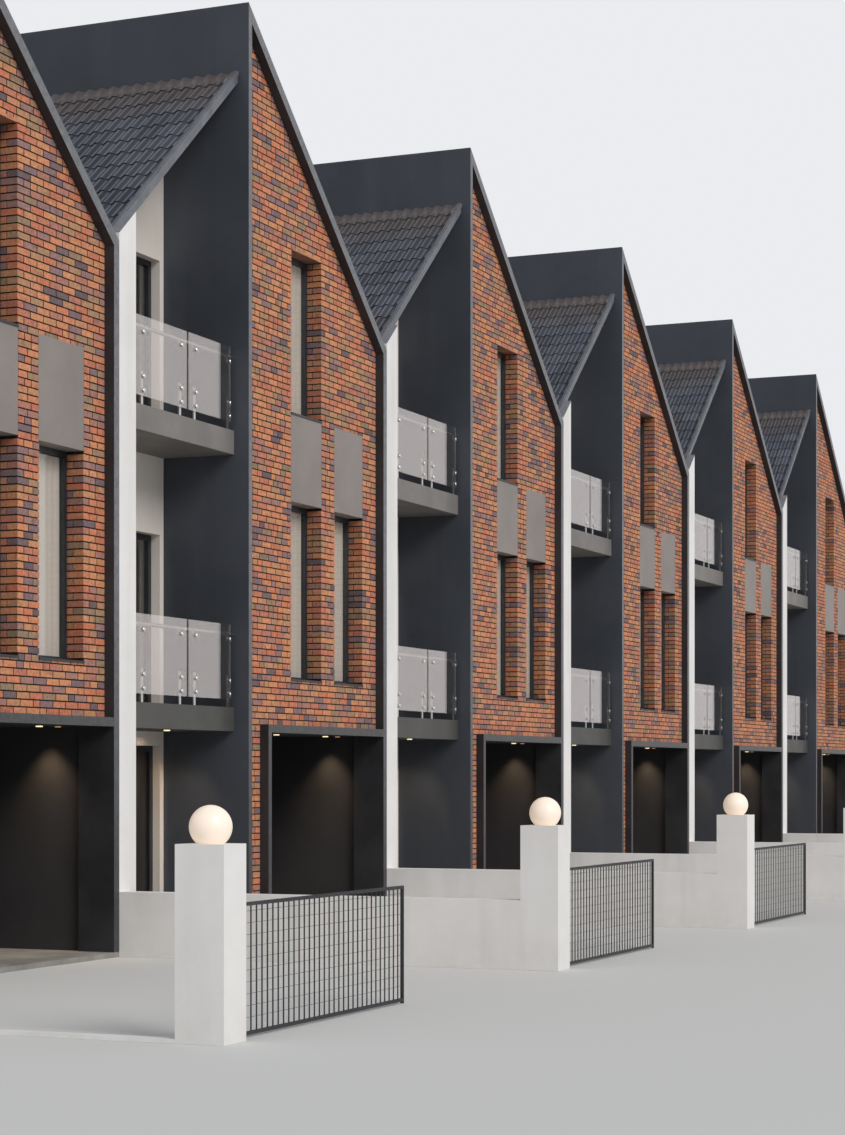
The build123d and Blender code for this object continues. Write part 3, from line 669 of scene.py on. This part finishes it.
bm = bmesh.new()
laid = []
slip = (SLOT_W - 5 * JOINT) / 4
for hx in HOUSE_XS:
    # the pier beside the portal, in courses that meet those above it
    lay_courses(laid, hx + POST_IN, lambda z: hx + JAMB_X, GROUND, BRICK_Z,
                BRICK_Z - 33 * COURSE, [], BRICK_FACE, 1, FRONT_REVEAL)
    lay_courses(laid, hx + POST_IN, front_reach(hx), BRICK_Z, 9.9, BRICK_Z,
                moved(front_open, hx), BRICK_FACE, 1, FRONT_REVEAL)
    # the soffit of the upper window: slips that hang 5 mm below the lintel
    for i in range(4):
        a = hx + SLOT_A + JOINT + i * (slip + JOINT)
        laid.append(((a, a + slip), (BRICK_FACE - PROUD + 0.001, BRICK_FACE + 0.173),
                     (SLOT_HEAD - 0.005, SLOT_HEAD + 0.03)))
set_bricks(bm, laid)
piece(bm, "facade_bricks", BRICK)

bm = bmesh.new()
laid = []
for hx in HOUSE_XS:
    lay_courses(laid, hx + STRIP_X, rear_reach(hx), GROUND, 9.7, GROUND,
                moved(rear_open, hx), REAR_FACE, -1, REAR_REVEAL)
set_bricks(bm, laid)
# the bricks under each right roof slope are cut along it
for hx in HOUSE_XS:
    high = [v for v in bm.verts if hx + STRIP_X - 0.1 < v.co.x < hx + PITCH + 0.1]
    parts = high + joined(v.link_edges for v in high) + joined(v.link_faces for v in high)
    bmesh.ops.bisect_plane(bm, geom=parts, plane_no=(SLOPE, 0, 1), clear_outer=True,
                           plane_co=(hx + STRIP_X, 0, right_line(STRIP_X) - ROOF_UNDER - 0.004))
bmesh.ops.holes_fill(bm, edges=[e for e in bm.edges if e.is_boundary], sides=8)
piece(bm, "rear_bricks", BRICK)

# Wave tiles: stepped courses of 0.29 m, waves of 0.15 m. Each course's foot stands LIP above
# the course below and laps it by 6 mm
TILE_COURSE, WAVE, WAVE_H, WAVE_STEPS = 0.29, 0.15, 0.026, 6
LIP, LAP = 0.014, 0.006


def lay_tiles(bm, tone, foot, top, y0, y1):
    """one slope's tiles, from the foot to the top of its deck; points are (x, z)"""
    run = Vector((top[0] - foot[0], 0, top[1] - foot[1]))
    up = Vector((-abs(run.z) * math.copysign(1, run.x), 0, abs(run.x))).normalized()
    deck = Vector((foot[0], 0, foot[1]))
    courses = max(1, round(run.length / TILE_COURSE))
    columns = round((y1 - y0) / WAVE) * WAVE_STEPS
    rows = 2 * courses - 1
    made = bmesh.ops.create_grid(bm, x_segments=columns, y_segments=rows, size=0.5)["verts"]
    for v in made:
        column, row = round((v.co.x + 0.5) * columns), round((v.co.y + 0.5) * rows)
        course, covered = divmod(row, 2)
        crest = 0.5 + 0.5 * math.cos(math.tau * column / WAVE_STEPS)
        lift = 0.002 + WAVE_H * crest ** 0.8 + (0 if covered else LIP)
        along = (course + covered) / courses * run.length - (0 if covered else LAP)
        v.co = deck + run.normalized() * max(along, 0) + up * lift
        v.co.y = y0 + (y1 - y0) * column / columns
    # a tile is two waves wide, and all of its faces share its tone
    faces = joined(v.link_faces for v in made)
    edges = joined(f.edges for f in faces)
    tones = {}
    for f in faces:
        middle = f.calc_center_median()
        share = (middle - deck).dot(run.normalized()) / run.length
        key = (int(share * courses), int((middle.y - y0) / (2 * WAVE)))
        f[tone] = tones.setdefault(key, dice.random())
        f.smooth = True
    for e in edges:
        if abs((e.verts[0].co - e.verts[1].co).normalized().y) > 0.9:
            e.smooth = False
    # a skirt down to the deck closes the sheet
    rim = [e for e in edges if e.is_boundary]
    skirt = bmesh.ops.extrude_edge_only(bm, edges=rim)["geom"]
    for v in (g for g in skirt if isinstance(g, bmesh.types.BMVert)):
        v.co -= up * ((v.co - deck).dot(up) + 0.004)
    every = faces + [g for g in skirt if isinstance(g, bmesh.types.BMFace)]
    bmesh.ops.recalc_face_normals(bm, faces=every)
    if sum(f.normal.dot(up) for f in faces) < 0:
        bmesh.ops.reverse_faces(bm, faces=every)


# the tiles start clear of the gutters, at the edge of the row's left end wall, and over
# the party wall at its right end
GUTTER_GAP, LEFT_FOOT, RIGHT_FOOT = 0.1, 0.012, PITCH + 0.015
RIDGE_X = STRIP_X + 0.102
bm = bmesh.new()
tone = bm.faces.layers.float.new("tone")
for i, hx in enumerate(HOUSE_XS):
    low = GUTTER_GAP if i else LEFT_FOOT
    lay_tiles(bm, tone, (hx + low, left_line(low) + ROOF_RISE - RELIEF),
              (hx + FLANK_X - 0.002, left_line(FLANK_X) + ROOF_RISE - RELIEF),
              FACE_Y + VERGE_BACK + 0.001, REAR_FACE)
piece(bm, "left_tiles", TILE)
bm = bmesh.new()
tone = bm.faces.layers.float.new("tone")
for i, hx in enumerate(HOUSE_XS):
    low = PITCH - GUTTER_GAP if i < HOUSES - 1 else RIGHT_FOOT
    lay_tiles(bm, tone, (hx + low, right_line(low) - RELIEF),
              (hx + RIDGE_X, right_line(RIDGE_X) - RELIEF), FACE_Y + 0.402, REAR_FACE)
piece(bm, "right_tiles", TILE)

# Left roof decks: battened up above the valley gutters, and thin over the recess and
# over the row's end wall
GUTTER, END_SKIN = 0.13, 0.04
DECK_TOP, DECK_THIN = ROOF_RISE - RELIEF, ROOF_RISE - VERGE_H
bm = bmesh.new()
for i, hx in enumerate(HOUSE_XS):
    if i:
        foot = GUTTER
        pitched(bm, hx, 0, foot, RECESS, HOUSE_DEPTH, -ROOF_UNDER, -RELIEF)
    else:
        foot = END_SKIN
        pitched(bm, hx, 0, foot, VERGE_BACK, HOUSE_DEPTH, DECK_THIN, DECK_TOP)
    pitched(bm, hx, foot, FLANK_X, RECESS, HOUSE_DEPTH, -ROOF_UNDER, DECK_TOP)
    pitched(bm, hx, foot, FLANK_X, VERGE_BACK, RECESS, DECK_THIN, DECK_TOP)
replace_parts(piece(bm, "left_roof_decks", DECK), "left_roofs")

# Verge: the board with a capping on its face, and two folded ribs along its upper edge
CAPPING_T, CAPPING_H = 0.012, 0.045
RIB_T, RIB_H, RIB_END = 0.007, 0.02, 0.004
bm = bmesh.new()
for hx in HOUSE_XS:
    pitched(bm, hx, 0, FLANK_X, VERGE_FRONT, VERGE_BACK, DECK_THIN, ROOF_RISE)
    pitched(bm, hx, 0, FLANK_X, VERGE_FRONT - CAPPING_T, VERGE_FRONT,
            ROOF_RISE - CAPPING_H, ROOF_RISE)
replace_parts(piece(bm, "verge_boards", VERGE), "roof_verges")
bm = bmesh.new()
for hx in HOUSE_XS:
    for depth in (VERGE_FRONT + 0.004, VERGE_BACK - 0.012):
        pitched(bm, hx, RIB_END, FLANK_X - RIB_END, depth, depth + RIB_T,
                ROOF_RISE - 0.003, ROOF_RISE + RIB_H)
piece(bm, "verge_ribs", VERGE)

# Fins: each party wall's white end runs up in front of the verge, and to the deck behind
# it. A thin skin does so along the row's end wall. Metal caps the part before the verge
FIN_TOP, FIN_BACK = ROOF_RISE + 0.02, VERGE_FRONT - CAPPING_T
bm = bmesh.new()
for hx in HOUSE_XS:
    pitched(bm, hx, 0, PARTY_T, 0, FIN_BACK, -VERGE_H, FIN_TOP)
    pitched(bm, hx, 0, PARTY_T, FIN_BACK, RECESS, -VERGE_H, DECK_THIN)
pitched(bm, LEFT_X, 0, END_SKIN, RECESS, HOUSE_DEPTH, -ROOF_UNDER, DECK_THIN)
piece(bm, "fin_tops", WHITE)
bm = bmesh.new()
for hx in HOUSE_XS:
    pitched(bm, hx, 0, PARTY_T, -0.004, FIN_BACK, FIN_TOP, FIN_TOP + 0.006)
piece(bm, "fin_cappings", VERGE)

# Curtains: pleated voile behind each front window, inside its frame
FOLD, FOLD_DEPTH, FOLD_STEPS = 0.105, 0.0056, 96
CLOTH_IN, CLOTH_Y = 0.063, FACE_Y + 0.3365
lights = [(SLOT_A, SILL_Z, PANEL_LOW), (SLOT_B, SILL_Z, PANEL_LOW),
          (SLOT_A, PANEL_HIGH, SLOT_HEAD)]
for i, hx in enumerate(HOUSE_XS):
    for j, (sx, low, high) in enumerate(lights):
        bm = bmesh.new()
        cloth = bmesh.ops.create_grid(bm, x_segments=FOLD_STEPS, y_segments=5, size=0.5)["verts"]
        bmesh.ops.recalc_face_normals(bm, faces=bm.faces[:])
        width, height = SLOT_W - 2 * CLOTH_IN, high - low - 2 * CLOTH_IN
        shift = dice.random()
        for v in cloth:
            u, w = v.co.x + 0.5, v.co.y + 0.5
            folds = u * width / FOLD
            swing = math.sin(math.tau * (folds + shift)) \
                + 0.35 * math.sin(math.tau * (folds * 0.5 + 2 * shift))
            # the folds are deeper at the foot than at the head
            v.co = (hx + sx + CLOTH_IN + u * width,
                    CLOTH_Y + FOLD_DEPTH * swing * (1.1 - 0.25 * w), low + CLOTH_IN + w * height)
        uv = bm.loops.layers.uv.new("UVMap")
        for f in bm.faces:
            f.smooth = True
            for loop in f.loops:
                loop[uv].uv = (loop.vert.co.x, loop.vert.co.z)
        area = sum(f.calc_area() for f in bm.faces)
        curtain = piece(bm, f"curtain_{i + 1}_{j + 1}", VOILE)

# Fence: ten level wires, 80 mm apart, in front of the upright ones
FENCE_X, FENCE_Y, FENCE_LOW = 1.7665, FACE_Y - 4.443, 0.055
WIRE_GAP, WIRE_R, WIRE_LENGTH = 0.08, 0.0016, 2.84
bm = bmesh.new()
for hx in HOUSE_XS:
    for i in range(10):
        rod(bm, (hx + FENCE_X, FENCE_Y - 0.0055, FENCE_LOW + (i + 1) * WIRE_GAP),
            WIRE_R, WIRE_LENGTH, 6, "X")
piece(bm, "fence_level_wires", FENCE)

# Carport: a third lens in each ceiling, close to the right wall
bm = bmesh.new()
for hx in HOUSE_XS:
    rod(bm, (hx + 6.37, FACE_Y + 0.585, 2.25), 0.03, 0.01, 12)
piece(bm, "wall_downlights", DIM_LENS)

# Balustrade: polished discs of the clamps, on the outer face of the glass. Each balcony
# has four posts, the middle two beside the seam of its panes, with three discs on each
PANE_FACE, DISC_R, DISC_T = FACE_Y + 0.172, 0.025, 0.01
seam = (PARTY_T + FLANK_X) / 2 + 0.167
posts = [PARTY_T + 0.47, seam - 0.127, seam + 0.193, FLANK_X - 0.098]
bm = bmesh.new()
for hx in HOUSE_XS:
    for storey in (FIRST_TOP, SECOND_TOP):
        for sx in posts:
            for z in (0.14, 0.285, 0.735):
                disc = rod(bm, (hx + sx, PANE_FACE - DISC_T / 2, storey + z),
                           DISC_R, DISC_T, 12, "Y")
                rim = [e for e in joined(v.link_edges for v in disc)
                       if all(p.co.y < PANE_FACE - 0.008 for p in e.verts)]
                bmesh.ops.bevel(bm, geom=rim, offset=0.003, offset_type="OFFSET",
                                segments=1, profile=0.5, affect="EDGES", material=-1)
piece(bm, "clamp_discs", STAINLESS)

# ---------------------------------------------------------------- stage, light, camera
bm = bmesh.new()
bmesh.ops.create_grid(bm, x_segments=1, y_segments=1, size=400)
ground = bpy.data.meshes.new("floor")
bm.to_mesh(ground)
bm.free()
ground.materials.append(finish("pale_studio_floor", "D6D6D4", 0.9)[0])
stand("floor", ground, (0, 0, -0.001))

sky = bpy.data.lights.new("window_sky", "SUN")
sky.energy, sky.angle, sky.color = 1.75, math.radians(30), (1.0, 0.985, 0.96)
fall = Vector((0.37, 0.73, -0.57)).to_track_quat("-Z", "Y")
stand("window_sky", sky).rotation_euler = fall.to_euler()

# the world lights the row at half strength, and shows at full strength to the eye, in
# metal and through glass
world = bpy.data.worlds.new("pale_sky")
bpy.context.scene.world = world
world.use_nodes = True
nodes = world.node_tree.nodes
glow = nodes["Background"]
glow.inputs["Color"].default_value = colour("E8ECF2")
glow.inputs["Strength"].default_value = 0.5
shown = add(world, "Background", {"Color": colour("EBECF0")})
rays = add(world, "LightPath").outputs
mirrored = add(world, "Math", {0: rays["Is Camera Ray"], 1: rays["Is Glossy Ray"]},
               operation="MAXIMUM")
seen = add(world, "Math", {0: mirrored.outputs[0], 1: rays["Is Transmission Ray"]},
           operation="MAXIMUM")
which = add(world, "MixShader", {0: seen.outputs[0], 1: glow.outputs[0], 2: shown.outputs[0]})
link(world, which.outputs[0], nodes["World Output"].inputs["Surface"])

# warm lamps in each house's lower ceilings: x, depth, watts, cone, softness of the cone's
# edge, and tilt to the rear. Two are in the carport, over its middle and at its right wall,
# and two in the recess, one before the door wall and one close above the door
LAMP_Z = 2.23
LAMPS = [(RIGHT_IN - 1.75, 0.6, 12, 104, 0.5, 0), (6.33, 0.75, 40, 86, 1.0, 0),
         (2.3, 0.1, 28, 84, 0.5, 40), (2.25, RECESS - 0.17, 1.0, 160, 0.5, 0)]
for i, hx in enumerate(HOUSE_XS):
    for j, (x, depth, watts, cone, soft, tilt) in enumerate(LAMPS):
        bulb = bpy.data.lights.new(f"downlight_{i}_{j}", "SPOT")
        bulb.energy, bulb.spot_size, bulb.spot_blend = watts, math.radians(cone), soft
        bulb.color, bulb.shadow_soft_size = (1.0, 0.72, 0.43), 0.04
        held = stand(f"downlight_{i}_{j}", bulb, (hx + x, FACE_Y + depth, LAMP_Z))
        held.rotation_euler.x = math.radians(tilt)

lens = bpy.data.cameras.new("street_view")
lens.lens, lens.sensor_width, lens.shift_y, lens.clip_end = 76.43, 36, 0.184, 2000
camera = stand("street_view", lens, (-33.858, -14.050, 1.765))
camera.rotation_euler = (math.radians(90), 0, math.radians(-67.314))
bpy.context.scene.camera = camera
bpy.context.scene.view_settings.view_transform = "Standard"
